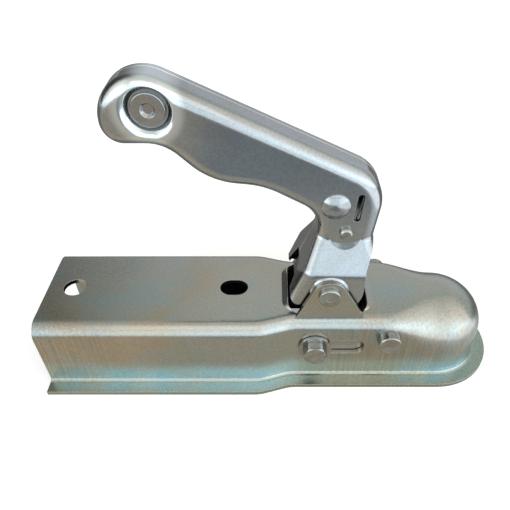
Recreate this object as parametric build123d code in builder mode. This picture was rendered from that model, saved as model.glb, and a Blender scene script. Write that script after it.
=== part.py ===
from build123d import *
import math
import os

os.makedirs("parts", exist_ok=True)

# Trailer coupling head, millimetres. X points along the drawbar to the ball end and Z is up.
# The origin is on the flat underside of the flange, straight below the middle of the ball.

# Stamped body
TUBE = 60.0             # square drawbar tube that slides in from the rear
TUBE_PLAY = 0.2         # room on each side of the tube
SHEET = 2.5             # thickness of the body sheet
BALL_R = 25.0           # radius of the tow ball
BALL_Z = 17.0           # height of the ball's middle above the flange
FLANGE = 8.6            # how far the flange stands out from the wall
BEND_R = 8.45           # outer radius of the long top bends
NOSE_R = 24.0           # outer radius over the front of the dome
FOOT_R = 2.5            # hollow radius between wall and flange
REAR_END = -221.0
JOG_START = -101.0      # the channel narrows between these two
JOG_END = -84.0
JOG_R = 22.0
BLEND_START = -34.0     # from here the top bends open out into the dome
BLEND_STEPS = 4

# Holes for the two bolts that hold the drawbar tube
BOLT_HOLE = 13.0
BOLT_SPACING = 90.0
REAR_BOLT_X = -205.75
FRONT_HOLE_LENGTH = 15.7
FRONT_HOLE_WIDTH = 12.3

# Opening in the top, its raised rim, and the ears bent up beside it
WINDOW_REAR = -85.5
WINDOW_FRONT = -42.4
WINDOW_HALF = 20.9
WINDOW_R = 8.0
RIM_RISE = 2.6
RIM_RUN = 5.0
RIM_DRAFT = 0.5
EAR_REAR = -82.5
EAR_FRONT = -43.8
EAR_R = 9.0
EAR_FOOT_R = 6.0        # hollow bend between an ear and the shoulder
EAR_FOOT_TILT = 52.0    # slope of the shoulder where that bend ends

# Pivot, guide bolt and cross pin
PIVOT_X = -64.6
PIVOT_Z = 60.0
PIVOT_D = 8.0
PIVOT_HEAD_D = 11.5
PIVOT_HEAD = 2.3
PIVOT_HEAD_EDGE = 0.9
PIVOT_MARK_R = 1.8      # small round mark in each head of the pivot pin
PIVOT_MARK = 0.4
GUIDE_X = -70.8         # guide bolt with the jaw open
GUIDE_Z = 25.4
GUIDE_D = 8.0
SLEEVE_D = 10.4
STROKE = 20.0           # travel of the jaw
SLOT_SPARE = 2.2        # slot left in front of the sleeve with the jaw closed
CROSS_X = -30.8
CROSS_Z = 32.0
CROSS_D = 12.4
CROSS_OUT = 5.5
CROSS_CHAMFER = 0.5
CROSS_SHANK_D = 8.0

# Room between pieces
RUN = 0.075             # radial room of a turning fit
FIT = 0.02              # radial room of a fixed pin or tube in its hole
GAP = 0.3               # room between pieces that pass each other
FORK_ROOM = 0.55        # room between fork and guide sleeve, on each side

# Handle, with its outline measured from the pivot
SHELL = 2.0             # thickness of the handle sheet
GRIP_HALF = 9.5         # half of the grip's thickness
SEAM_Y = 4.0            # where the two half shells meet
SEAM_BREAK = 0.4        # broken outer edge along the seam
NEAR_EDGE_R = 6.5       # rounded edges of the near and the far half shell
FAR_EDGE_R = 3.0
FLARE_TOP = 26.0        # between these heights the shells spread out to the cheeks
FLARE_FOOT = 10.0
FLARE_TOP_R = 4.0
FLARE_FOOT_R = 9.0
CHEEK_HALF = 19.6       # half width over the flat cheeks
CHEEK_R = 17.8          # round end of each cheek about the pivot
NECK_FOOT = 24.0        # the front wall of the neck ends here
NECK_FRONT = 21.6
WEB_TOE_Z = -5.5        # middle of the round lower corner of the rear wall
WEB_TOE_R = 4.0
WEB_TOP = 8.0           # the opening in the rear wall, between these heights
WEB_LOW = -7.0
WEB_NEAR_TOP = 4.2      # its near and far sides, from the middle, at the top and lower down
WEB_NEAR = 11.6
WEB_FAR_TOP = 7.5
WEB_FAR = 14.2
BOSS = 1.0              # pressed boss around the pivot
BOSS_R = 10.0
BOSS_SLOPE = 1.0
HUB = (-81.0, 92.2)     # dimple and rivet in the end of the grip
HUB_R = 11.0
HUB_RIM_R = 3.0         # rounding where the dimple leaves the panel
HUB_FLOOR_R = 8.4
HUB_DEPTH = 3.5
ELBOW = (0.6, 45.8)     # domed rivet at the elbow
CATCH = (6.7, 30.6)     # pin that the safety catch turns on
CATCH_D = 6.2
CATCH_OUT = 2.7
POCKET_R = 8.8          # flat round the catch pin, pressed into the flare
PEEP = (11.7, 44.7)     # narrow slot through the near panel
PEEP_LENGTH = 15.5
PEEP_WIDTH = 3.3
PEEP_TILT = 85.5

# Corners of the handle's side outline and the radius that rounds each one
HANDLE_CORNERS = [
    ((-103.6, 117.8), 20.0),    # top of the grip's end
    ((25.0, 57.3), 22.0),       # elbow
    ((21.3, 24.0), 12.0),       # front of the neck
    ((32.6, 2.0), 10.0),
    ((32.6, -24.0), 0.0),
    ((-27.7, -24.0), 0.0),
    ((-3.5, 37.7), 15.0),       # under the elbow
    ((-33.7, 54.4), 38.0),      # finger swell
    ((-58.4, 57.0), 34.0),
    ((-77.3, 75.9), 18.0),
    ((-103.6, 75.9), 10.0),     # underside of the grip's end
]

# Rivets, bush and lever bracket of the handle
RIVET_D = 8.0           # shank of the two handle rivets
HUB_HEAD_D = 15.0
HUB_HEAD = 1.7
HUB_HEAD_EDGE = 0.6
HUB_MARK_R = 3.3        # cupped middle of the hub rivet, at its rim and at its floor
HUB_MARK_FLOOR_R = 2.2
HUB_MARK = 1.3
ELBOW_HEAD_D = 13.8
ELBOW_HEAD = 3.3
ELBOW_RIM = 0.5         # straight rim under the dome
ELBOW_BACK = 2.0        # flat head on the far side
ELBOW_BACK_EDGE = 1.0
SPACER_WALL = 2.0
BUSH_WALL = 1.8
ARM = 3.0               # thickness of the lever bracket
ARM_HALF = 10.75        # half width of each lever arm
ARM_LENGTH = 41.5       # from the pivot to the tip of the fork
ARM_TIP_R = 2.0
YOKE_REAR = 9.0         # the yoke that joins both arms, measured from the pivot
YOKE_FRONT = 15.0
YOKE_TOP = 7.4
YOKE_FOOT = 8.0

# Safety catch and its spring, measured from the pivot
CATCH_HALF = 2.5        # half thickness of the catch
CATCH_EYE_R = 5.0
CATCH_ARM_R = 1.6       # round end of the arm, behind the finger tab
CATCH_ARM = (-12.8, 3.0)
TAB = (-14.5, -0.3)     # middle of the finger tab in the rear opening
TAB_THICK = 2.4
TAB_LENGTH = 10.0
TAB_HALF = 7.0
TAB_TILT = 21.4
CATCH_END = 0.8         # chamfer of the catch pin
CATCH_SPACER_WALL = 1.6
WIRE = 0.9
COIL_ROOM = 0.25        # room between the coil and the catch pin
COIL_GAP = 0.1          # room between the turns
COIL_TURNS = 2.077
LEG_TILT = 10.0         # lean of the leg that stands behind the narrow slot
LEG_UP = 20.0
LEG_DOWN = 12.0

# Jaw, guide bolt, washers and nut
WASHER_D = 18.0
WASHER = 1.6
HEX = 12.0              # across the flats of bolt head and nut
HEX_CORNER_R = 6.5
HEX_CHAMFER = 0.5
HEAD = 5.3
NUT = 6.5
THREAD_END = 2.5        # bolt left beyond the nut
JAW_PLATE = 3.5
JAW_EYE_R = 9.0
JAW_TOP = 27.6
JAW_BACK = -49.0        # rear of the pad that holds the ball
JAW_FRONT = -34.0
JAW_FOOT = 2.5
JAW_HEEL = 6.0          # slope and roundings between side plate and pad
JAW_TOE_R = 2.0

# Derived sizes
HEAD_R = BALL_R + SHEET
HEIGHT = BALL_Z + HEAD_R
REAR_HALF = TUBE / 2 + TUBE_PLAY + SHEET
FRONT_BOLT_X = REAR_BOLT_X + BOLT_SPACING
EAR_OUT = WINDOW_HALF + SHEET
CHEEK_IN = CHEEK_HALF - SHELL
SLOT_H = SLEEVE_D + 2 * GAP
FAR = 300.0             # larger than the whole head
NEAR = 0.01             # how exactly edges are picked by height


def from_pivot(point):
    """Place a point given from the handle's pivot in the side view."""
    return (PIVOT_X + point[0], PIVOT_Z + point[1])


def side_plane(y):
    """Side view plane at this y, looking along +Y, so that extrusions go towards -Y."""
    return Plane.XZ.offset(-y)


# Body stamping

def u_section(x, inset, radius):
    """Cross-section of the front channel at x, with top bends of this radius."""
    half = HEAD_R - inset
    top = HEIGHT - inset
    with BuildSketch(Plane.YZ.offset(x)) as section:
        with BuildLine():
            FilletPolyline(
                (-half, 0), (-half, top), (half, top), (half, 0),
                radius=[0, radius - inset, radius - inset, 0], close=True,
            )
        make_face()
    return section.sketch


def body_form(inset):
    """Solid outer form of the stamping, or its hollow when inset by the sheet."""
    rear = REAR_HALF - inset
    half = HEAD_R - inset
    top = HEIGHT - inset
    side = [(REAR_END, -rear), (JOG_START, -rear), (JOG_END, -half), (BLEND_START, -half)]
    other = [(x, -y) for x, y in reversed(side)]
    with BuildPart() as form:
        with BuildSketch():
            with BuildLine():
                FilletPolyline(*side, *other, radius=[0, JOG_R, JOG_R, 0] * 2, close=True)
            make_face()
        extrude(amount=top)
        rims = form.faces().sort_by(Axis.Z)[-1].edges()
        fillet(rims.filter_by(lambda e: e.bounding_box().size.Y < half), radius=BEND_R - inset)
        sections = []
        for step in range(BLEND_STEPS + 1):
            along = step / BLEND_STEPS
            ease = along**2 * (3 - 2 * along)
            radius = BEND_R + (NOSE_R - BEND_R) * ease
            sections.append(u_section(BLEND_START * (1 - along), inset, radius))
        loft(sections)
        with BuildSketch(Plane.YZ):
            with BuildLine():
                FilletPolyline(
                    (0, 0), (-half, 0), (-half, top), (0, top),
                    radius=[0, 0, NOSE_R - inset, 0], close=True,
                )
            make_face()
        revolve(axis=Axis.Z, revolution_arc=180)
    return form.part


def flange_outline():
    """Outline of the flat foot: along both sides and round the nose."""
    rear = REAR_HALF + FLANGE
    front = HEAD_R + FLANGE
    with BuildSketch() as outline:
        with BuildLine():
            for side in (-1, 1):
                FilletPolyline(
                    (REAR_END, side * rear), (JOG_START, side * rear),
                    (JOG_END, side * front), (0, side * front), radius=JOG_R,
                )
            ThreePointArc((0, -front), (front, 0), (0, front))
            Line((REAR_END, -rear), (REAR_END, rear))
        make_face()
    return outline.sketch


def rim_ramp(drop):
    """Rise of the top sheet towards the opening, highest in the middle of each end."""
    arch_r = (WINDOW_HALF**2 + RIM_RISE**2) / (2 * RIM_RISE)
    middle = ((WINDOW_REAR + WINDOW_FRONT) / 2, 0)
    length = WINDOW_FRONT - WINDOW_REAR
    base = HEIGHT - drop
    with BuildPart() as ramp:
        with BuildSketch(Plane.XY.offset(base - SHEET / 2)):
            with Locations(middle):
                RectangleRounded(length + 2 * RIM_RUN, 2 * (HEAD_R - BEND_R), WINDOW_R)
        with BuildSketch(Plane.XY.offset(base + RIM_RISE)):
            with Locations(middle):
                RectangleRounded(length - 2 * RIM_DRAFT, 2 * (HEAD_R - BEND_R - RIM_DRAFT), WINDOW_R)
        loft()
        with BuildSketch(Plane.YZ.offset(WINDOW_REAR - 2 * RIM_RUN)):
            with Locations((0, base + RIM_RISE - arch_r)):
                Circle(arch_r)
        extrude(amount=length + 4 * RIM_RUN, mode=Mode.INTERSECT)
    return ramp.part


def ear_foot():
    """End view of an ear's root, with a hollow bend that ends on the rounded shoulder."""
    middle_y = BEND_R - HEAD_R
    middle_z = HEIGHT - BEND_R
    tilt = math.radians(EAR_FOOT_TILT)
    toe = (middle_y - BEND_R * math.sin(tilt), middle_z + BEND_R * math.cos(tilt))
    corner_z = middle_z + math.sqrt(BEND_R**2 - (EAR_OUT + middle_y) ** 2)
    with BuildSketch() as profile:
        with BuildLine():
            FilletPolyline(
                toe, (-EAR_OUT, corner_z), (-EAR_OUT, PIVOT_Z), (-WINDOW_HALF, PIVOT_Z),
                (-WINDOW_HALF, HEIGHT - SHEET), radius=[0, EAR_FOOT_R, 0, 0, 0], close=True,
            )
        make_face()
    return profile.sketch


def near_ear():
    """Ear bent up beside the opening, with the hole for the pivot pin."""
    with BuildPart() as ear:
        with BuildSketch(side_plane(-WINDOW_HALF)):
            with BuildLine():
                CenterArc((PIVOT_X, PIVOT_Z), EAR_R, 0, 360)
                Line((EAR_REAR, HEIGHT - SHEET), (EAR_FRONT, HEIGHT - SHEET))
            make_hull()
        extrude(amount=HEAD_R - WINDOW_HALF)
        with BuildSketch(Plane.YZ.offset(EAR_REAR)):
            add(ear_foot())
            with Locations((-(WINDOW_HALF + EAR_OUT) / 2, PIVOT_Z)):
                Rectangle(SHEET, 4 * EAR_R)
        extrude(amount=EAR_FRONT - EAR_REAR, mode=Mode.INTERSECT)
        with BuildSketch(side_plane(0)):
            with Locations((PIVOT_X, PIVOT_Z)):
                Circle(PIVOT_D / 2 + FIT)
        extrude(amount=FAR, mode=Mode.SUBTRACT)
    return ear.part


with BuildPart() as coupling_body:
    add(body_form(0))
    with BuildSketch():
        add(flange_outline())
    extrude(amount=SHEET)
    foot = coupling_body.edges().filter_by_position(Axis.Z, SHEET - NEAR, SHEET + NEAR)
    fillet(foot.filter_by(lambda e: e.bounding_box().max.Y < REAR_HALF + NEAR
                          and e.bounding_box().min.Y > -REAR_HALF - NEAR), radius=FOOT_R)
    add(rim_ramp(0))
    add(body_form(SHEET), mode=Mode.SUBTRACT)
    lip = coupling_body.edges().filter_by_position(Axis.Z, -NEAR, NEAR)
    fillet(lip.filter_by(lambda e: e.bounding_box().max.Y < REAR_HALF - NEAR
                         and e.bounding_box().min.Y > -REAR_HALF + NEAR), radius=FOOT_R)
    add(rim_ramp(SHEET), mode=Mode.SUBTRACT)
    with BuildSketch(Plane.XY.offset(HEIGHT - 3 * SHEET)):
        with Locations(((WINDOW_REAR + WINDOW_FRONT) / 2, 0)):
            RectangleRounded(WINDOW_FRONT - WINDOW_REAR, 2 * WINDOW_HALF, WINDOW_R)
    extrude(amount=FAR, mode=Mode.SUBTRACT)
    add(near_ear())
    mirror(near_ear(), about=Plane.XZ)
    with BuildSketch(side_plane(0)):
        slot_rear = GUIDE_X - SLEEVE_D / 2 - 2 * GAP
        slot_front = GUIDE_X + STROKE + SLEEVE_D / 2 + SLOT_SPARE
        with Locations(((slot_rear + slot_front) / 2, GUIDE_Z)):
            SlotOverall(slot_front - slot_rear, SLOT_H)
        with Locations((CROSS_X, CROSS_Z)):
            Circle(CROSS_D / 2 + FIT)
    extrude(amount=FAR, both=True, mode=Mode.SUBTRACT)
    with BuildSketch(Plane.XY.offset(HEIGHT - 2 * SHEET)):
        with Locations((REAR_BOLT_X, 0)):
            Circle(BOLT_HOLE / 2)
        with Locations((FRONT_BOLT_X, 0)):
            SlotOverall(FRONT_HOLE_LENGTH, FRONT_HOLE_WIDTH)
    extrude(amount=3 * SHEET, mode=Mode.SUBTRACT)

coupling_body.part.label = "coupling_body"
export_step(coupling_body.part, "parts/coupling_body.step")


# Handle shells

def handle_outline(inset):
    """Side view of the handle, with the lower end left long to be trimmed."""
    with BuildSketch() as outline:
        with BuildLine():
            FilletPolyline(
                *[from_pivot(point) for point, radius in HANDLE_CORNERS],
                radius=[radius for point, radius in HANDLE_CORNERS], close=True,
            )
        make_face()
        offset(amount=-inset, kind=Kind.INTERSECTION)
    return outline.sketch


def near_side(inset):
    """End view of the near panel, the flare and the cheek, filled up to the far side."""
    with BuildSketch() as profile:
        with BuildLine():
            FilletPolyline(
                (FAR, FAR), (-GRIP_HALF, FAR), (-GRIP_HALF, PIVOT_Z + FLARE_TOP),
                (-CHEEK_HALF, PIVOT_Z + FLARE_FOOT), (-CHEEK_HALF, -FAR), (FAR, -FAR),
                radius=[0, 0, FLARE_TOP_R, FLARE_FOOT_R, 0, 0], close=True,
            )
        make_face()
        offset(amount=-inset, kind=Kind.INTERSECTION)
    return profile.sketch


def round_boss(point, first, last, y_first, y_last):
    """Round form across the handle, from one radius to another between two planes."""
    with BuildPart() as boss:
        for radius, y in ((first, y_first), (last, y_last)):
            with BuildSketch(side_plane(y)):
                with Locations(from_pivot(point)):
                    Circle(radius)
        loft()
    return boss.part


def hub_dimple():
    """Round dimple in the outer face of the grip's end, with a soft rim."""
    x, z = from_pivot(HUB)
    slope = math.atan2(HUB_DEPTH, HUB_R - HUB_FLOOR_R)
    mouth = x + HUB_R + HUB_RIM_R * math.tan(slope / 2) + NEAR
    lip_y = -GRIP_HALF - NEAR
    with BuildPart() as dimple:
        with BuildSketch(Plane.XY.offset(z)):
            with BuildLine():
                FilletPolyline(
                    (x, lip_y - SHELL), (mouth, lip_y - SHELL), (mouth, lip_y), (x + HUB_R, lip_y),
                    (x + HUB_FLOOR_R, HUB_DEPTH - GRIP_HALF), (x, HUB_DEPTH - GRIP_HALF),
                    radius=[0, 0, 0, HUB_RIM_R, 0, 0], close=True,
                )
            make_face()
        revolve(axis=Axis((x, 0, z), (0, 1, 0)))
    return dimple.part


def handle_form(inset, seam):
    """Solid form of a half shell with its seam at this y, or its hollow when inset."""
    open_seam = seam + inset
    face = GRIP_HALF - inset
    cheek = CHEEK_HALF - inset
    widen = inset / 2
    edge_r = NEAR_EDGE_R if seam > 0 else FAR_EDGE_R
    with BuildPart() as form:
        with BuildSketch(side_plane(open_seam)):
            add(handle_outline(inset))
        extrude(amount=open_seam + CHEEK_HALF + SHELL)
        with BuildSketch(Plane.YZ.offset(-FAR)):
            add(near_side(inset))
        extrude(amount=2 * FAR, mode=Mode.INTERSECT)
        low = PIVOT_Z - CHEEK_R
        rim = form.edges().filter_by(
            lambda e: e.bounding_box().max.Y < open_seam - NEAR
            and e.center().Z > low
            and not (e.bounding_box().size.Z < NEAR and e.center().Z < PIVOT_Z + FLARE_TOP + FLARE_TOP_R)
        )
        fillet(rim, radius=edge_r - inset)
        if inset:
            add(round_boss(HUB, HUB_R + widen, HUB_FLOOR_R + widen, -face, -face + HUB_DEPTH),
                mode=Mode.SUBTRACT)
        else:
            chamfer(form.faces().sort_by(Axis.Y)[-1].edges(), length=SEAM_BREAK)
            add(hub_dimple(), mode=Mode.SUBTRACT)
        add(round_boss(CATCH, POCKET_R + inset, POCKET_R + inset, -face, -FAR), mode=Mode.SUBTRACT)
        add(round_boss((0, 0), BOSS_R - widen, BOSS_R - BOSS_SLOPE - widen, -cheek, -cheek - BOSS))
    return form.part


def handle_trim():
    """Side view of all that is kept: the grip, and the cheeks down to their round ends."""
    (foot_x, foot_z), (bend_x, bend_z) = HANDLE_CORNERS[5][0], HANDLE_CORNERS[6][0]
    lean = math.atan2(bend_x - foot_x, bend_z - foot_z)
    toe_x = foot_x + (WEB_TOE_Z - foot_z) * math.tan(lean) + WEB_TOE_R / math.cos(lean)
    web_foot = WEB_TOE_Z + WEB_TOE_R * math.sin(lean)
    with BuildSketch() as keep:
        with BuildLine():
            Polyline(
                from_pivot((-FAR, FAR)), from_pivot((FAR, FAR)), from_pivot((FAR, NECK_FOOT)),
                from_pivot((NECK_FRONT, NECK_FOOT)), from_pivot((CHEEK_R, NECK_FOOT / 2)),
                from_pivot((CHEEK_R, 0)), from_pivot((0, 0)), from_pivot((0, web_foot)),
                from_pivot((-FAR, web_foot)), close=True,
            )
        make_face()
        with Locations(from_pivot((toe_x, WEB_TOE_Z))):
            Circle(WEB_TOE_R)
        with Locations(from_pivot((0, 0))):
            Circle(CHEEK_R)
    return keep.sketch


def half_shell(seam, web_opening):
    """One pressed half of the handle, as seen from the near side."""
    with BuildPart() as shell:
        add(handle_form(0, seam))
        add(handle_form(SHELL, seam), mode=Mode.SUBTRACT)
        with BuildSketch(side_plane(FAR)):
            add(handle_trim())
        extrude(amount=2 * FAR, mode=Mode.INTERSECT)
        with BuildSketch(Plane.YZ.offset(PIVOT_X - 2 * CHEEK_R)):
            with BuildLine():
                Polyline(*web_opening, close=True)
            make_face()
        extrude(amount=2 * CHEEK_R, mode=Mode.SUBTRACT)
        with BuildSketch(side_plane(seam)):
            for point, radius in (
                ((0, 0), PIVOT_D / 2 + RUN), (HUB, RIVET_D / 2 + FIT),
                (ELBOW, RIVET_D / 2 + FIT), (CATCH, CATCH_D / 2 + FIT),
            ):
                with Locations(from_pivot(point)):
                    Circle(radius)
        extrude(amount=FAR, mode=Mode.SUBTRACT)
    return shell.part


with BuildPart() as handle_near_shell:
    web_top = PIVOT_Z + WEB_TOP
    web_low = PIVOT_Z + WEB_LOW
    add(half_shell(SEAM_Y, [
        (-WEB_NEAR, 0), (-WEB_NEAR, web_low), (-WEB_NEAR_TOP, web_top), (FAR, web_top), (FAR, 0),
    ]))
    with BuildSketch(side_plane(0)):
        with Locations(from_pivot(PEEP)):
            SlotOverall(PEEP_LENGTH, PEEP_WIDTH, rotation=PEEP_TILT)
    extrude(amount=FAR, mode=Mode.SUBTRACT)

handle_near_shell.part.label = "handle_near_shell"
export_step(handle_near_shell.part, "parts/handle_near_shell.step")

with BuildPart() as handle_far_shell:
    far_half = half_shell(-SEAM_Y, [
        (-WEB_FAR, 0), (-WEB_FAR, web_low), (-WEB_FAR_TOP, web_top), (0, web_top), (0, 0),
    ])
    mirror(far_half, about=Plane.XZ)

handle_far_shell.part.label = "handle_far_shell"
export_step(handle_far_shell.part, "parts/handle_far_shell.step")


# Fixed pins of the body

def bar_across(point, radius, half_length, end_chamfer=0.0):
    """Round bar across the head, centred on the middle plane."""
    with BuildPart() as bar:
        with BuildSketch(side_plane(half_length)):
            with Locations(point):
                Circle(radius)
        extrude(amount=2 * half_length)
        if end_chamfer:
            chamfer(bar.edges().filter_by(GeomType.CIRCLE), length=end_chamfer)
    return bar.part


def near_head(point, radius, seat, height, rounding=0.0, end_chamfer=0.0):
    """Round head with a rounded or broken rim, standing on the near side on a seat this far out."""
    with BuildPart() as button:
        with BuildSketch(side_plane(-seat)):
            with Locations(point):
                Circle(radius)
        extrude(amount=height)
        if rounding:
            fillet(button.faces().sort_by(Axis.Y)[0].edges(), radius=rounding)
        else:
            chamfer(button.faces().sort_by(Axis.Y)[0].edges(), length=end_chamfer)
    return button.part


def domed_head(point, radius, seat, height, rim):
    """Domed head on a low straight rim, standing on the near side on a seat this far out."""
    rise = height - rim
    dome_r = (radius**2 + rise**2) / (2 * rise)
    with BuildPart() as dome:
        with BuildSketch(side_plane(-seat)):
            with Locations(point):
                Circle(radius)
        extrude(amount=height)
        with Locations((point[0], dome_r - height - seat, point[1])):
            Sphere(dome_r, mode=Mode.INTERSECT)
    return dome.part


def ring_across(point, outer, inner, y_near, y_far):
    """Plain tube or washer across the head between two planes."""
    with BuildPart() as ring:
        with BuildSketch(side_plane(y_far)):
            with Locations(point):
                Circle(outer)
                Circle(inner, mode=Mode.SUBTRACT)
        extrude(amount=y_far - y_near)
    return ring.part


PIVOT = (PIVOT_X, PIVOT_Z)
GUIDE = (GUIDE_X, GUIDE_Z)

with BuildPart() as pivot_pin:
    add(bar_across(PIVOT, PIVOT_D / 2, EAR_OUT))
    pin_head = near_head(PIVOT, PIVOT_HEAD_D / 2, EAR_OUT, PIVOT_HEAD, PIVOT_HEAD_EDGE)
    add(pin_head)
    mirror(pin_head, about=Plane.XZ)
    add(bar_across(PIVOT, PIVOT_MARK_R, EAR_OUT + PIVOT_HEAD), mode=Mode.SUBTRACT)
    add(bar_across(PIVOT, PIVOT_MARK_R, EAR_OUT + PIVOT_HEAD - PIVOT_MARK))

pivot_pin.part.label = "pivot_pin"
export_step(pivot_pin.part, "parts/pivot_pin.step")

with BuildPart() as cross_pin:
    cross_at = (CROSS_X, CROSS_Z)
    wall_in = HEAD_R - SHEET
    add(bar_across(cross_at, CROSS_D / 2, HEAD_R + CROSS_OUT, CROSS_CHAMFER))
    add(ring_across(cross_at, CROSS_D, CROSS_SHANK_D / 2, -wall_in, wall_in), mode=Mode.SUBTRACT)

cross_pin.part.label = "cross_pin"
export_step(cross_pin.part, "parts/cross_pin.step")


# Pieces that turn with the handle

BUSH_IN_R = PIVOT_D / 2 + RUN
BUSH_OUT_R = BUSH_IN_R + BUSH_WALL
BUSH_HALF = CHEEK_IN + BOSS

with BuildPart() as pivot_bush:
    add(ring_across(PIVOT, BUSH_OUT_R, BUSH_IN_R, -BUSH_HALF, BUSH_HALF))

pivot_bush.part.label = "pivot_bush"
export_step(pivot_bush.part, "parts/pivot_bush.step")

with BuildPart() as lever_bracket:
    fork_tilt = math.degrees(math.atan2(GUIDE_X - PIVOT_X, PIVOT_Z - GUIDE_Z))
    fork_reach = PIVOT_Z - GUIDE_Z
    fork_r = SLEEVE_D / 2 + FORK_ROOM
    with BuildSketch(side_plane(CHEEK_IN)):
        with Locations(Location((*PIVOT, 0), fork_tilt)):
            with Locations((0, -ARM_LENGTH / 2)):
                Rectangle(2 * ARM_HALF, ARM_LENGTH)
        with Locations((PIVOT_X - YOKE_REAR, PIVOT_Z - YOKE_FOOT)):
            Rectangle(YOKE_REAR + YOKE_FRONT, YOKE_FOOT + YOKE_TOP, align=(Align.MIN, Align.MIN))
        with Locations(Location((*PIVOT, 0), fork_tilt)):
            with Locations((0, -fork_reach)):
                Circle(fork_r, mode=Mode.SUBTRACT)
            with Locations((0, -fork_reach - SLEEVE_D)):
                Rectangle(2 * fork_r, 2 * SLEEVE_D, mode=Mode.SUBTRACT)
        with Locations(PIVOT):
            Circle(BUSH_OUT_R + FIT, mode=Mode.SUBTRACT)
    extrude(amount=2 * CHEEK_IN)
    tips = lever_bracket.edges().filter_by(Axis.Y).sort_by(Axis.Z)[0:4]
    fillet(tips, radius=ARM_TIP_R)
    with BuildSketch(side_plane(CHEEK_IN - ARM)):
        with Locations((PIVOT_X + YOKE_FRONT - ARM - FAR / 2, PIVOT_Z)):
            Rectangle(FAR, FAR)
        with Locations((PIVOT_X, PIVOT_Z - YOKE_FOOT - FAR / 2)):
            Rectangle(FAR, FAR)
    extrude(amount=2 * (CHEEK_IN - ARM), mode=Mode.SUBTRACT)

lever_bracket.part.label = "lever_bracket"
export_step(lever_bracket.part, "parts/lever_bracket.step")

HUB_AT = from_pivot(HUB)
HUB_SEAT = GRIP_HALF - HUB_DEPTH
RIVET_HOLE_R = RIVET_D / 2 + FIT

with BuildPart() as grip_rivet:
    add(bar_across(HUB_AT, RIVET_D / 2, HUB_SEAT))
    hub_head = near_head(HUB_AT, HUB_HEAD_D / 2, HUB_SEAT, HUB_HEAD, HUB_HEAD_EDGE)
    add(hub_head)
    mirror(hub_head, about=Plane.XZ)
    hub_top = HUB_SEAT + HUB_HEAD
    hub_mark = round_boss(HUB, HUB_MARK_FLOOR_R, HUB_MARK_R, HUB_MARK - hub_top, -hub_top)
    add(hub_mark, mode=Mode.SUBTRACT)
    mirror(hub_mark, about=Plane.XZ, mode=Mode.SUBTRACT)

grip_rivet.part.label = "grip_rivet"
export_step(grip_rivet.part, "parts/grip_rivet.step")

with BuildPart() as grip_spacer:
    add(ring_across(HUB_AT, RIVET_HOLE_R + SPACER_WALL, RIVET_HOLE_R, SHELL - HUB_SEAT, HUB_SEAT - SHELL))

grip_spacer.part.label = "grip_spacer"
export_step(grip_spacer.part, "parts/grip_spacer.step")

ELBOW_AT = from_pivot(ELBOW)
GRIP_IN = GRIP_HALF - SHELL

with BuildPart() as elbow_rivet:
    add(bar_across(ELBOW_AT, RIVET_D / 2, GRIP_HALF))
    add(domed_head(ELBOW_AT, ELBOW_HEAD_D / 2, GRIP_HALF, ELBOW_HEAD, ELBOW_RIM))
    back_head = near_head(ELBOW_AT, ELBOW_HEAD_D / 2, GRIP_HALF, ELBOW_BACK,
                          end_chamfer=ELBOW_BACK_EDGE)
    mirror(back_head, about=Plane.XZ)

elbow_rivet.part.label = "elbow_rivet"
export_step(elbow_rivet.part, "parts/elbow_rivet.step")

with BuildPart() as elbow_spacer:
    add(ring_across(ELBOW_AT, RIVET_HOLE_R + SPACER_WALL, RIVET_HOLE_R, -GRIP_IN, GRIP_IN))

elbow_spacer.part.label = "elbow_spacer"
export_step(elbow_spacer.part, "parts/elbow_spacer.step")

CATCH_AT = from_pivot(CATCH)

with BuildPart() as catch_pin:
    add(bar_across(CATCH_AT, CATCH_D / 2, GRIP_HALF + CATCH_OUT, CATCH_END))

catch_pin.part.label = "catch_pin"
export_step(catch_pin.part, "parts/catch_pin.step")

with BuildPart() as catch_spacer:
    spacer_r = CATCH_D / 2 + FIT
    add(ring_across(CATCH_AT, spacer_r + CATCH_SPACER_WALL, spacer_r, CATCH_HALF + GAP, GRIP_IN))

catch_spacer.part.label = "catch_spacer"
export_step(catch_spacer.part, "parts/catch_spacer.step")


def torsion_spring():
    """Coil about the Z axis, resting on Z zero, with a straight leg in line with each end."""
    coil_r = CATCH_D / 2 + COIL_ROOM + WIRE / 2
    pitch = WIRE + COIL_GAP
    lead = math.atan2(pitch, 2 * math.pi * coil_r)
    start_z = WIRE / 2 + LEG_UP * math.sin(lead)
    with BuildPart() as spring:
        with BuildLine() as wire_path:
            coil = Helix(pitch=pitch, height=pitch * COIL_TURNS, radius=coil_r, center=(0, 0, start_z))
            up_leg = Line(coil @ 0 - (coil % 0) * LEG_UP, coil @ 0)
            Line(coil @ 1, coil @ 1 + (coil % 1) * LEG_DOWN)
        with BuildSketch(Plane(origin=up_leg @ 0, z_dir=up_leg % 0)):
            Circle(WIRE / 2)
        sweep(path=wire_path.line)
    return spring.part


with BuildPart() as catch_spring:
    leg_side = Vector(1, 0, 0).rotate(Axis.Y, LEG_TILT)
    spring_seat = (CATCH_AT[0], COIL_GAP - GRIP_IN, CATCH_AT[1])
    with Locations(Plane(origin=spring_seat, x_dir=leg_side, z_dir=(0, 1, 0))):
        add(torsion_spring())

catch_spring.part.label = "catch_spring"
export_step(catch_spring.part, "parts/catch_spring.step")


# Safety catch

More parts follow.
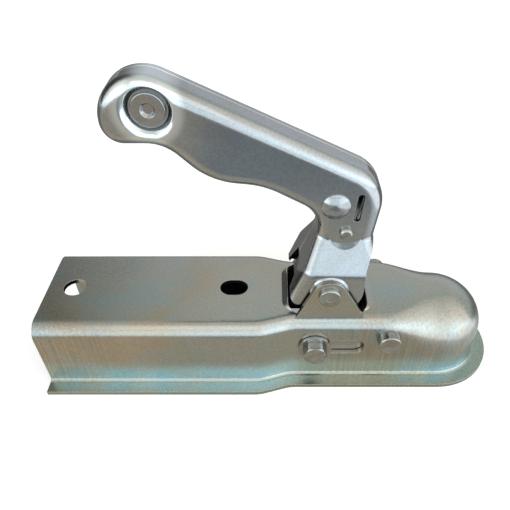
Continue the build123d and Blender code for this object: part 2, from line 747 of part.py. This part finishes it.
with BuildPart() as safety_catch:
    with BuildSketch(side_plane(CATCH_HALF)):
        with BuildLine():
            CenterArc(CATCH_AT, CATCH_EYE_R, 0, 360)
            CenterArc(from_pivot(CATCH_ARM), CATCH_ARM_R, 0, 360)
        make_hull()
        with Locations(CATCH_AT):
            Circle(CATCH_D / 2 + RUN, mode=Mode.SUBTRACT)
    extrude(amount=2 * CATCH_HALF)
    with BuildSketch(side_plane(TAB_HALF)):
        with Locations(Location((*from_pivot(TAB), 0), -TAB_TILT)):
            Rectangle(TAB_THICK, TAB_LENGTH)
    extrude(amount=2 * TAB_HALF)

safety_catch.part.label = "safety_catch"
export_step(safety_catch.part, "parts/safety_catch.step")


# Jaw and the guide bolt that the fork drives

SLEEVE_HALF = HEAD_R + GAP
JAW_HALF = HEAD_R - SHEET - GAP
WASHER_OUT = SLEEVE_HALF + WASHER
GUIDE_HOLE_R = GUIDE_D / 2 + FIT

with BuildPart() as clamping_jaw:
    with BuildSketch(side_plane(JAW_HALF)):
        with BuildLine():
            FilletPolyline(
                (GUIDE_X, JAW_TOP), (JAW_FRONT, JAW_TOP), (JAW_FRONT, JAW_FOOT), (JAW_BACK, JAW_FOOT),
                (JAW_BACK - JAW_HEEL, GUIDE_Z - JAW_EYE_R), (GUIDE_X, GUIDE_Z - JAW_EYE_R),
                radius=[0, JAW_TOE_R, JAW_TOE_R, JAW_HEEL, JAW_HEEL, 0], close=True,
            )
        make_face()
        with Locations(GUIDE):
            Circle(JAW_EYE_R)
            Circle(SLEEVE_D / 2 + FIT, mode=Mode.SUBTRACT)
    extrude(amount=2 * JAW_HALF)
    with BuildSketch():
        with Locations((JAW_BACK - FAR / 2, 0)):
            RectangleRounded(FAR, 2 * (JAW_HALF - JAW_PLATE), JAW_HEEL)
    extrude(amount=FAR, mode=Mode.SUBTRACT)
    with Locations((-STROKE, 0, BALL_Z)):
        Sphere(BALL_R + GAP, mode=Mode.SUBTRACT)

clamping_jaw.part.label = "clamping_jaw"
export_step(clamping_jaw.part, "parts/clamping_jaw.step")

with BuildPart() as guide_sleeve:
    add(ring_across(GUIDE, SLEEVE_D / 2, GUIDE_HOLE_R, -SLEEVE_HALF, SLEEVE_HALF))

guide_sleeve.part.label = "guide_sleeve"
export_step(guide_sleeve.part, "parts/guide_sleeve.step")

with BuildPart() as near_washer:
    add(ring_across(GUIDE, WASHER_D / 2, GUIDE_HOLE_R, -WASHER_OUT, -SLEEVE_HALF))

near_washer.part.label = "near_washer"
export_step(near_washer.part, "parts/near_washer.step")

with BuildPart() as far_washer:
    add(ring_across(GUIDE, WASHER_D / 2, GUIDE_HOLE_R, SLEEVE_HALF, WASHER_OUT))

far_washer.part.label = "far_washer"
export_step(far_washer.part, "parts/far_washer.step")


def near_hexagon(height):
    """Hexagon head or nut on the near washer, with its outer corners taken off."""
    with BuildPart() as hexagon:
        with BuildSketch(side_plane(-WASHER_OUT)):
            with Locations(GUIDE):
                Circle(HEX_CORNER_R)
        extrude(amount=height)
        face = hexagon.faces().sort_by(Axis.Y)[0]
        chamfer(face.edges(), length=HEX_CORNER_R - HEX / 2, length2=HEX_CHAMFER, reference=face)
        with BuildSketch(side_plane(-WASHER_OUT)):
            with Locations(GUIDE):
                RegularPolygon(HEX / 2, 6, major_radius=False)
        extrude(amount=height, mode=Mode.INTERSECT)
    return hexagon.part


with BuildPart() as guide_bolt:
    add(near_hexagon(HEAD))
    bolt_end = WASHER_OUT + NUT + THREAD_END
    with BuildSketch(side_plane(bolt_end)):
        with Locations(GUIDE):
            Circle(GUIDE_D / 2)
    extrude(amount=bolt_end + WASHER_OUT)

guide_bolt.part.label = "guide_bolt"
export_step(guide_bolt.part, "parts/guide_bolt.step")

with BuildPart() as lock_nut:
    mirror(near_hexagon(NUT), about=Plane.XZ)
    add(bar_across(GUIDE, GUIDE_HOLE_R, FAR), mode=Mode.SUBTRACT)

lock_nut.part.label = "lock_nut"
export_step(lock_nut.part, "parts/lock_nut.step")
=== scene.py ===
import math

import bpy
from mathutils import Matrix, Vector

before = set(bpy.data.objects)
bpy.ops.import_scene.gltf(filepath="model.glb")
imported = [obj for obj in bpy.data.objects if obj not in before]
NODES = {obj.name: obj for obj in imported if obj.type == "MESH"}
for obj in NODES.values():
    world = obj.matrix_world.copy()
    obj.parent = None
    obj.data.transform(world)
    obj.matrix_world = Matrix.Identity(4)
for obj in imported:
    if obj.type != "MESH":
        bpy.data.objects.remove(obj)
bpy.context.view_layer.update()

scene = bpy.context.scene


# Node helpers

def new_tree(name):
    """A material with its nodes cleared, and its output."""
    mat = bpy.data.materials.new(name)
    mat.use_nodes = True
    tree = mat.node_tree
    tree.nodes.clear()
    out = tree.nodes.new("ShaderNodeOutputMaterial")
    return mat, tree, out


class Maker:
    """Short calls for the nodes of one tree."""

    def __init__(self, tree):
        self.tree = tree

    def put(self, socket, value):
        if isinstance(value, bpy.types.NodeSocket):
            self.tree.links.new(value, socket)
        else:
            socket.default_value = value

    def node(self, kind, inputs=(), **settings):
        n = self.tree.nodes.new(kind)
        for key, value in settings.items():
            setattr(n, key, value)
        for key, value in dict(inputs).items():
            self.put(n.inputs[key], value)
        return n

    def math(self, operation, *values, clamp=False):
        n = self.node("ShaderNodeMath", dict(enumerate(values)), operation=operation, use_clamp=clamp)
        return n.outputs[0]

    def vector(self, operation, *values):
        """Vector sum whose result is a number."""
        n = self.node("ShaderNodeVectorMath", dict(enumerate(values)), operation=operation)
        return n.outputs["Value"]

    def split(self, value):
        """The X, Y and Z of a vector, by name."""
        return self.node("ShaderNodeSeparateXYZ", {0: value}).outputs

    def ramp(self, value, stops):
        """Colour ramp from (position, grey or colour) stops."""
        n = self.node("ShaderNodeValToRGB", {0: value})
        points = n.color_ramp.elements
        while len(points) < len(stops):
            points.new(1.0)
        for point, (at, colour) in zip(points, stops):
            point.position = at
            point.color = (*colour, 1) if isinstance(colour, tuple) else (colour, colour, colour, 1)
        return n.outputs[0]

    def mix(self, factor, a, b, blend="MIX"):
        n = self.node("ShaderNodeMix", data_type="RGBA", blend_type=blend)
        for socket, value in ((n.inputs[0], factor), (n.inputs[6], a), (n.inputs[7], b)):
            if isinstance(value, tuple) and len(value) == 3:
                value = (*value, 1)
            self.put(socket, value)
        return n.outputs[2]

    def times(self, a, b):
        """Product of two colours."""
        return self.mix(1.0, a, b, "MULTIPLY")

    def noise(self, coords, scale, detail=3.0, rough=0.55, distort=0.0):
        n = self.node("ShaderNodeTexNoise", {
            "Vector": coords, "Scale": scale, "Detail": detail, "Roughness": rough, "Distortion": distort,
        })
        return n.outputs["Fac"]

    def stretch(self, coords, scale, rotation=(0, 0, 0), location=(0, 0, 0)):
        n = self.node("ShaderNodeMapping", {"Vector": coords})
        n.inputs["Scale"].default_value = scale
        n.inputs["Rotation"].default_value = rotation
        n.inputs["Location"].default_value = location
        return n.outputs[0]


# Zinc-plated steel. Lengths are in metres, and each noise's scale is its waves per metre

SMALL_CLOUDS = 1.9    # waves of the small clouds for each one of the large ones
FINE_GRAIN = 900
SCRATCH_GRAIN = 1400
HATCH_GRAIN = 1100
BRUSH_GRAIN = 800
BRUSH_AREAS = 14
EDGE_RADIUS = 0.0003
EDGE_TONE = (0.80, 0.82, 0.82)
SCRATCH_DEPTH = 0.00006
SCRATCH_STRENGTH = 0.35
HATCH_SHARE = 0.6     # height of the hatching and of the grain, beside the scratches
FINE_SHARE = 0.5
FINE_ROUGH = 0.12     # how far the grain changes the roughness
# Reach of the painted shade that darkens crevices
CREVICE_SHADE_REACH = 0.004
FLANGE_TINT = (0.92, 1.03, 0.98)
# Painted light on the wall round the grip rivet's dimple
DIMPLE_LIGHT_TONE = (0.82, 0.88, 0.92)
TENTHS = 10.0         # a ramp over a length counts it in tenths of a metre


def middle(name):
    """Middle of a node's box, x and z."""
    corners = NODES[name].bound_box
    return tuple(sum(corner[axis] for corner in corners) / len(corners) for axis in (0, 2))


def brush_marks(m, coords, colour, streaks):
    """Darker upright lines in patches, as deep as streaks says."""
    lines = m.noise(m.stretch(coords, (1, 1, 0.02)), BRUSH_GRAIN, 3, 0.7)
    area = m.noise(m.stretch(coords, (1, 1, 0.5), location=(0.05, 0, 0)), BRUSH_AREAS, 1)
    where = m.ramp(area, [(0.45, 0.0), (0.6, 1.0)])
    shade = m.ramp(lines, [(0.35, 1.0 - streaks), (0.65, 1.0)])
    return m.mix(where, colour, m.times(colour, shade))


def tint_foot_with_painted_reflection(m, coords, patches, colour, tint):
    """The flange's own tint, and in patches on the lowest part of the walls a bluish brightening that is
    partly the zinc's own colour and partly painted reflection.
    """
    level = m.math("MULTIPLY", m.split(coords)["Z"], TENTHS)
    flange = m.ramp(level, [(0.03, 1.0), (0.04, 0.0)])
    colour = m.mix(flange, colour, m.times(colour, FLANGE_TINT))
    # Partly painted reflection: bluish brightening of the wall just above the flange
    low = m.ramp(level, [(0.035, 0.0), (0.05, 1.0), (0.10, 0.9), (0.19, 0.0)])
    low = m.math("MULTIPLY", low, m.ramp(patches, [(0.36, 0.6), (0.58, 1.0)]))
    return m.mix(low, colour, m.times(colour, tint))


def dimple_painted_light(m, coords, colour, x, z):
    """Painted light: a brighter ring on the wall round the grip rivet's dimple, where shade and dark
    reflections fall.
    """
    away = m.vector("LENGTH", m.stretch(coords, (1, 0, 1), location=(-x, 0, -z)))
    away = m.math("MULTIPLY", away, TENTHS)
    ring = m.ramp(away, [(0.085, 0.0), (0.095, 0.9), (0.135, 0.8), (0.165, 0.0)])
    return m.mix(ring, colour, DIMPLE_LIGHT_TONE)


def plated_steel(name, tone, warm, cool, rough, grain, mottle, scratches, crevice_shade=0.35, clouds=21,
                 streaks=0.0, foot_tint_and_reflection=None, dimple_light=None):
    """Zinc-plated steel: cloudy tint, fine scratches, a grainy surface and brighter worn edges."""
    mat, tree, out = new_tree(name)
    m = Maker(tree)
    coords = m.node("ShaderNodeTexCoord").outputs["Object"]
    small = m.noise(coords, clouds * SMALL_CLOUDS, 4, 0.6, 0.5)
    patches = m.noise(m.stretch(coords, (1, 1, 1.4), location=(0.31, 0.12, 0.2)), clouds, 3, 0.45, 0.7)
    fine = m.noise(coords, FINE_GRAIN, 3, 0.7)
    lines = m.noise(m.stretch(coords, (1, 1, 0.03)), SCRATCH_GRAIN, 2, 0.5)
    hatch = m.noise(m.stretch(coords, (0.05, 1, 1), rotation=(0.1, 0.7, 0.2)), HATCH_GRAIN, 2, 0.5)

    colour = m.mix(m.ramp(patches, [(0.40, 0.0), (0.60, 1.0)]), warm, tone)
    colour = m.mix(m.ramp(small, [(0.48, 0.0), (0.66, mottle)]), colour, cool)
    colour = m.times(colour, m.ramp(fine, [(0.35, 0.86), (0.6, 1.0)]))
    if streaks:
        colour = brush_marks(m, coords, colour, streaks)
    # Bluish foot colour, partly the zinc's own and partly painted reflection
    if foot_tint_and_reflection:
        colour = tint_foot_with_painted_reflection(m, coords, patches, colour, foot_tint_and_reflection)
    # Painted light: a brighter ring round the grip rivet's dimple
    if dimple_light:
        colour = dimple_painted_light(m, coords, colour, *dimple_light)

    # An edge is where the rounded normal leaves the true one
    rounded = m.node("ShaderNodeBevel", {"Radius": EDGE_RADIUS}, samples=6).outputs[0]
    facing = m.vector("DOT_PRODUCT", rounded, m.node("ShaderNodeNewGeometry").outputs["Normal"])
    worn = m.ramp(facing, [(0.80, 0.8), (0.97, 0.0)])
    worn = m.math("MULTIPLY", worn, m.ramp(small, [(0.3, 0.3), (0.6, 1.0)]))
    colour = m.mix(worn, colour, EDGE_TONE)
    # Painted shade: the colour is darkened in crevices and narrow gaps where ambient occlusion is low
    gap = m.node("ShaderNodeAmbientOcclusion", {"Distance": CREVICE_SHADE_REACH}, samples=8)
    colour = m.times(colour, m.ramp(gap.outputs["AO"], [(0.25, 1.0 - crevice_shade), (0.75, 1.0)]))

    roughness = m.math("MULTIPLY_ADD", small, grain, rough - grain / 2)
    fine_rough = m.math("MULTIPLY", m.math("SUBTRACT", fine, 0.5), FINE_ROUGH)
    roughness = m.math("ADD", roughness, fine_rough, clamp=True)

    hatching = m.math("MULTIPLY", hatch, scratches * HATCH_SHARE)
    height = m.math("ADD", m.math("MULTIPLY", lines, scratches), hatching)
    height = m.math("ADD", height, m.math("MULTIPLY", fine, FINE_SHARE))
    bump = m.node("ShaderNodeBump", {
        "Height": height, "Strength": SCRATCH_STRENGTH, "Distance": SCRATCH_DEPTH, "Normal": rounded,
    })
    shader = m.node("ShaderNodeBsdfPrincipled", {
        "Base Color": colour, "Metallic": 1.0, "Roughness": roughness, "Normal": bump.outputs[0],
    })
    tree.links.new(shader.outputs[0], out.inputs[0])
    return mat


BODY = plated_steel("zinc_body", (0.53, 0.53, 0.495), (0.54, 0.49, 0.41), (0.45, 0.53, 0.545),
                    rough=0.24, grain=0.12, mottle=0.8, scratches=0.35, clouds=17, streaks=0.2,
                    foot_tint_and_reflection=(1.1, 1.42, 1.68))
HANDLE = plated_steel("zinc_handle", (0.50, 0.52, 0.54), (0.46, 0.47, 0.475), (0.51, 0.54, 0.59),
                      rough=0.14, grain=0.08, mottle=0.6, scratches=0.2, crevice_shade=0.15,
                      dimple_light=middle("grip_rivet"))
RIVET = plated_steel("zinc_dome", (0.47, 0.49, 0.51), (0.42, 0.42, 0.42), (0.46, 0.50, 0.54),
                     rough=0.12, grain=0.08, mottle=0.5, scratches=0.2, clouds=60)
FASTENER = plated_steel("zinc_fastener", (0.50, 0.52, 0.51), (0.42, 0.39, 0.35), (0.46, 0.52, 0.53),
                        rough=0.22, grain=0.12, mottle=0.6, scratches=0.3, clouds=120)
INNER = plated_steel("steel_inner", (0.33, 0.34, 0.34), (0.28, 0.27, 0.25), (0.30, 0.34, 0.36),
                     rough=0.40, grain=0.16, mottle=0.6, scratches=0.4)
JAW = plated_steel("zinc_jaw", (0.52, 0.52, 0.50), (0.48, 0.46, 0.42), (0.46, 0.50, 0.50),
                   rough=0.22, grain=0.12, mottle=0.6, scratches=0.4)

# What isn't named here gets the dull inner steel
FINISH = {
    "coupling_body": BODY, "pivot_pin": FASTENER, "cross_pin": FASTENER,
    "handle_near_shell": HANDLE, "handle_far_shell": HANDLE,
    "grip_rivet": RIVET, "elbow_rivet": RIVET, "catch_pin": FASTENER,
    "guide_bolt": FASTENER, "near_washer": FASTENER, "far_washer": FASTENER, "lock_nut": FASTENER,
    "clamping_jaw": JAW,
}
for name, node in NODES.items():
    node.data.materials.clear()
    node.data.materials.append(FINISH.get(name, INNER))


# Studio, floor, table and camera

# Tone of the studio at each angle in degrees: 0 back, 90 up, 180 front, 270 down
ROUND_TONES = [
    (0, (0.26, 0.265, 0.27)), (20, (0.305, 0.32, 0.335)), (35, (0.305, 0.315, 0.32)),
    (46, (0.29, 0.29, 0.27)), (55, (0.225, 0.285, 0.25)), (70, (0.33, 0.33, 0.31)),
    (90, (0.36, 0.35, 0.325)), (105, (0.38, 0.365, 0.335)), (120, (0.43, 0.425, 0.40)),
    (138, (0.52, 0.56, 0.57)), (152, (0.60, 0.69, 0.73)), (162, (0.62, 0.71, 0.76)),
    (177, (0.55, 0.64, 0.69)),
    (186, (0.36, 0.41, 0.44)), (196, (0.17, 0.185, 0.195)), (215, (0.13, 0.14, 0.145)),
    (240, (0.16, 0.16, 0.14)), (275, (0.24, 0.21, 0.17)), (310, (0.25, 0.22, 0.18)),
    (345, (0.21, 0.205, 0.20)), (360, (0.225, 0.23, 0.235)),
]
# Share of that tone at each distance across, from the left at -1 to the right at 1
BACK_TONES = [
    (-1, 0.12), (-0.8, 0.08), (-0.6, 0.10), (-0.5, 0.14), (-0.42, 0.2), (-0.3, 0.46), (-0.12, 0.64),
    (0.3, 0.62), (0.6, 0.7), (1, 0.6),
]
FRONT_TONES = [
    (-1, 0.9), (-0.8, 1.0), (-0.6, 0.85), (-0.45, 0.6), (-0.3, 0.6), (0, 0.64), (0.3, 0.66),
    (0.5, 0.9), (1, 1.0),
]
BACK_END, FRONT_START = 62, 95    # degrees where the back's shares end and the front's begin
SKY = 2.15 / 0.66
# Table's tone at each distance from the object's middle in metres, with lengths along X halved
TABLE_TONES = [
    (0, (0.215, 0.205, 0.165)), (0.12, (0.215, 0.205, 0.17)), (0.155, (0.17, 0.175, 0.165)),
    (0.20, (0.125, 0.14, 0.145)), (0.40, (0.12, 0.135, 0.143)), (0.8, (0.18, 0.19, 0.19)),
]
# Tones that come in over it along X or Y, in the same lengths with TABLE_SHIFT added
TABLE_SIDES = [
    ("X", [(0.45, 0.45), (0.475, 0.0)], (0.36, 0.30, 0.22)),
    ("X", [(0.55, 0.0), (0.585, 1.0)], (0.34, 0.36, 0.37)),
    ("X", [(0.592, 0.0), (0.61, 1.0)], (0.66, 0.70, 0.72)),
    ("Y", [(0.50, 0.0), (0.535, 1.0)], (0.105, 0.105, 0.098)),
]
TABLE_SHIFT = 0.5
TABLE_LIGHT = 2.15

FLOOR_GRAIN = 90
FLOOR_REACH = 3.0
TABLE_REACH = 2.0
FLOOR_Z, TABLE_Z, HOLLOW_Z = -0.0002, -0.00015, -0.0001
# Corners of the card under the hollow, just inside the body's foot
HOLLOW = [(-0.220, -0.034), (0.012, -0.028), (0.012, 0.028), (-0.220, 0.034)]


def studio_world():
    """Studio as tones round the X axis, from the back over the top to the front. The camera sees white."""
    world = bpy.data.worlds.new("studio")
    scene.world = world
    world.use_nodes = True
    tree = world.node_tree
    tree.nodes.clear()
    m = Maker(tree)
    way = m.split(m.node("ShaderNodeTexCoord").outputs["Generated"])
    turn = m.math("DIVIDE", m.math("ARCTAN2", way["Z"], way["Y"]), 2 * math.pi)
    turn = m.math("FRACT", m.math("ADD", turn, 1.0))
    colour = m.ramp(turn, [(angle / 360, tone) for angle, tone in ROUND_TONES])
    across = m.math("MULTIPLY", m.math("ADD", way["X"], 1.0), 0.5)
    back, front = (
        m.ramp(across, [((x + 1) / 2, share) for x, share in shares])
        for shares in (BACK_TONES, FRONT_TONES)
    )
    forward = m.ramp(turn, [(BACK_END / 360, 0.0), (FRONT_START / 360, 1.0)])
    colour = m.times(colour, m.mix(forward, back, front))
    sky = m.node("ShaderNodeBackground", {"Color": colour, "Strength": SKY})
    white = m.node("ShaderNodeBackground", {"Color": (1, 1, 1, 1), "Strength": 1.0})
    seen = m.node("ShaderNodeLightPath").outputs["Is Camera Ray"]
    choice = m.node("ShaderNodeMixShader", {0: seen, 1: sky.outputs[0], 2: white.outputs[0]})
    out = m.node("ShaderNodeOutputWorld")
    tree.links.new(choice.outputs[0], out.inputs[0])


def area_light(name, place, aim, size, power):
    """Soft rectangular light at a place, turned to face a point."""
    data = bpy.data.lights.new(name, "AREA")
    data.shape = "RECTANGLE"
    data.size, data.size_y = size
    data.energy = power
    light = bpy.data.objects.new(name, data)
    scene.collection.objects.link(light)
    light.location = place
    light.rotation_euler = (Vector(place) - Vector(aim)).to_track_quat("Z", "Y").to_euler()


def flat_piece(name, corners, height, mat):
    """Flat piece of the stage at a height."""
    mesh = bpy.data.meshes.new(name)
    mesh.from_pydata([(x, y, 0) for x, y in corners], [], [(0, 1, 2, 3)])
    mesh.materials.append(mat)
    piece = bpy.data.objects.new(name, mesh)
    piece.location.z = height
    scene.collection.objects.link(piece)
    return piece


def square(reach):
    return [(-reach, -reach), (reach, -reach), (reach, reach), (-reach, reach)]


def pale_floor():
    """Wide matt floor with a faint grain, left out of reflections."""
    mat, tree, out = new_tree("floor_pale")
    m = Maker(tree)
    grain = m.noise(m.node("ShaderNodeTexCoord").outputs["Object"], FLOOR_GRAIN, 3)
    shader = m.node("ShaderNodeBsdfPrincipled", {
        "Base Color": m.ramp(grain, [(0.3, 0.93), (0.7, 0.95)]), "Roughness": 0.9,
        "Emission Color": (1, 1, 1, 1), "Emission Strength": 0.35,
    })
    tree.links.new(shader.outputs[0], out.inputs[0])
    flat_piece("floor", square(FLOOR_REACH), FLOOR_Z, mat).visible_glossy = False


def reflected_table():
    """Table that only reflections show: warm beside the object and dark further off and behind."""
    mat, tree, out = new_tree("table_tones")
    m = Maker(tree)
    place = m.stretch(m.node("ShaderNodeTexCoord").outputs["Object"], (0.5, 1, 1), location=(0.05, 0, 0))
    tone = m.ramp(m.vector("LENGTH", place), TABLE_TONES)
    axes = m.split(place)
    for axis, stops, side_tone in TABLE_SIDES:
        tone = m.mix(m.ramp(m.math("ADD", axes[axis], TABLE_SHIFT), stops), tone, side_tone)
    shader = m.node("ShaderNodeEmission", {"Color": tone, "Strength": TABLE_LIGHT})
    tree.links.new(shader.outputs[0], out.inputs[0])
    table = flat_piece("table", square(TABLE_REACH), TABLE_Z, mat)
    table.visible_camera = False
    table.visible_diffuse = False
    table.visible_shadow = False


def dark_card():
    """Card under the open bottom, which keeps light from below out of the hollow."""
    mat, tree, out = new_tree("card_dark")
    shader = Maker(tree).node("ShaderNodeBsdfDiffuse", {"Color": (0.02, 0.022, 0.025, 1)})
    tree.links.new(shader.outputs[0], out.inputs[0])
    flat_piece("under_card", HOLLOW, HOLLOW_Z, mat).visible_camera = False


studio_world()
area_light("top_light", place=(-0.1, -0.5, 0.9), aim=(-0.09, 0, 0.05), size=(0.9, 0.5), power=0.6)
pale_floor()
reflected_table()
dark_card()
scene.view_settings.view_transform = "Standard"

# The photo's camera, solved from the straight edges of the body
FRAME_PX = 510
FOCAL_PX = 505.4
CENTRE_PX = (272.5, 277.3)
PITCH = math.radians(42.4)
CAMERA_PLACE = (-0.094, -0.2078, 0.24195)
SENSOR = 36.0

cam_data = bpy.data.cameras.new("camera")
cam_data.sensor_width = SENSOR
cam_data.lens = FOCAL_PX / FRAME_PX * SENSOR
cam_data.shift_x = (FRAME_PX / 2 - CENTRE_PX[0]) / FRAME_PX
cam_data.shift_y = (CENTRE_PX[1] - FRAME_PX / 2) / FRAME_PX
cam_data.clip_start = 0.01
camera = bpy.data.objects.new("camera", cam_data)
scene.collection.objects.link(camera)
camera.location = CAMERA_PLACE
camera.rotation_euler = (math.pi / 2 - PITCH, 0, 0)
scene.camera = camera
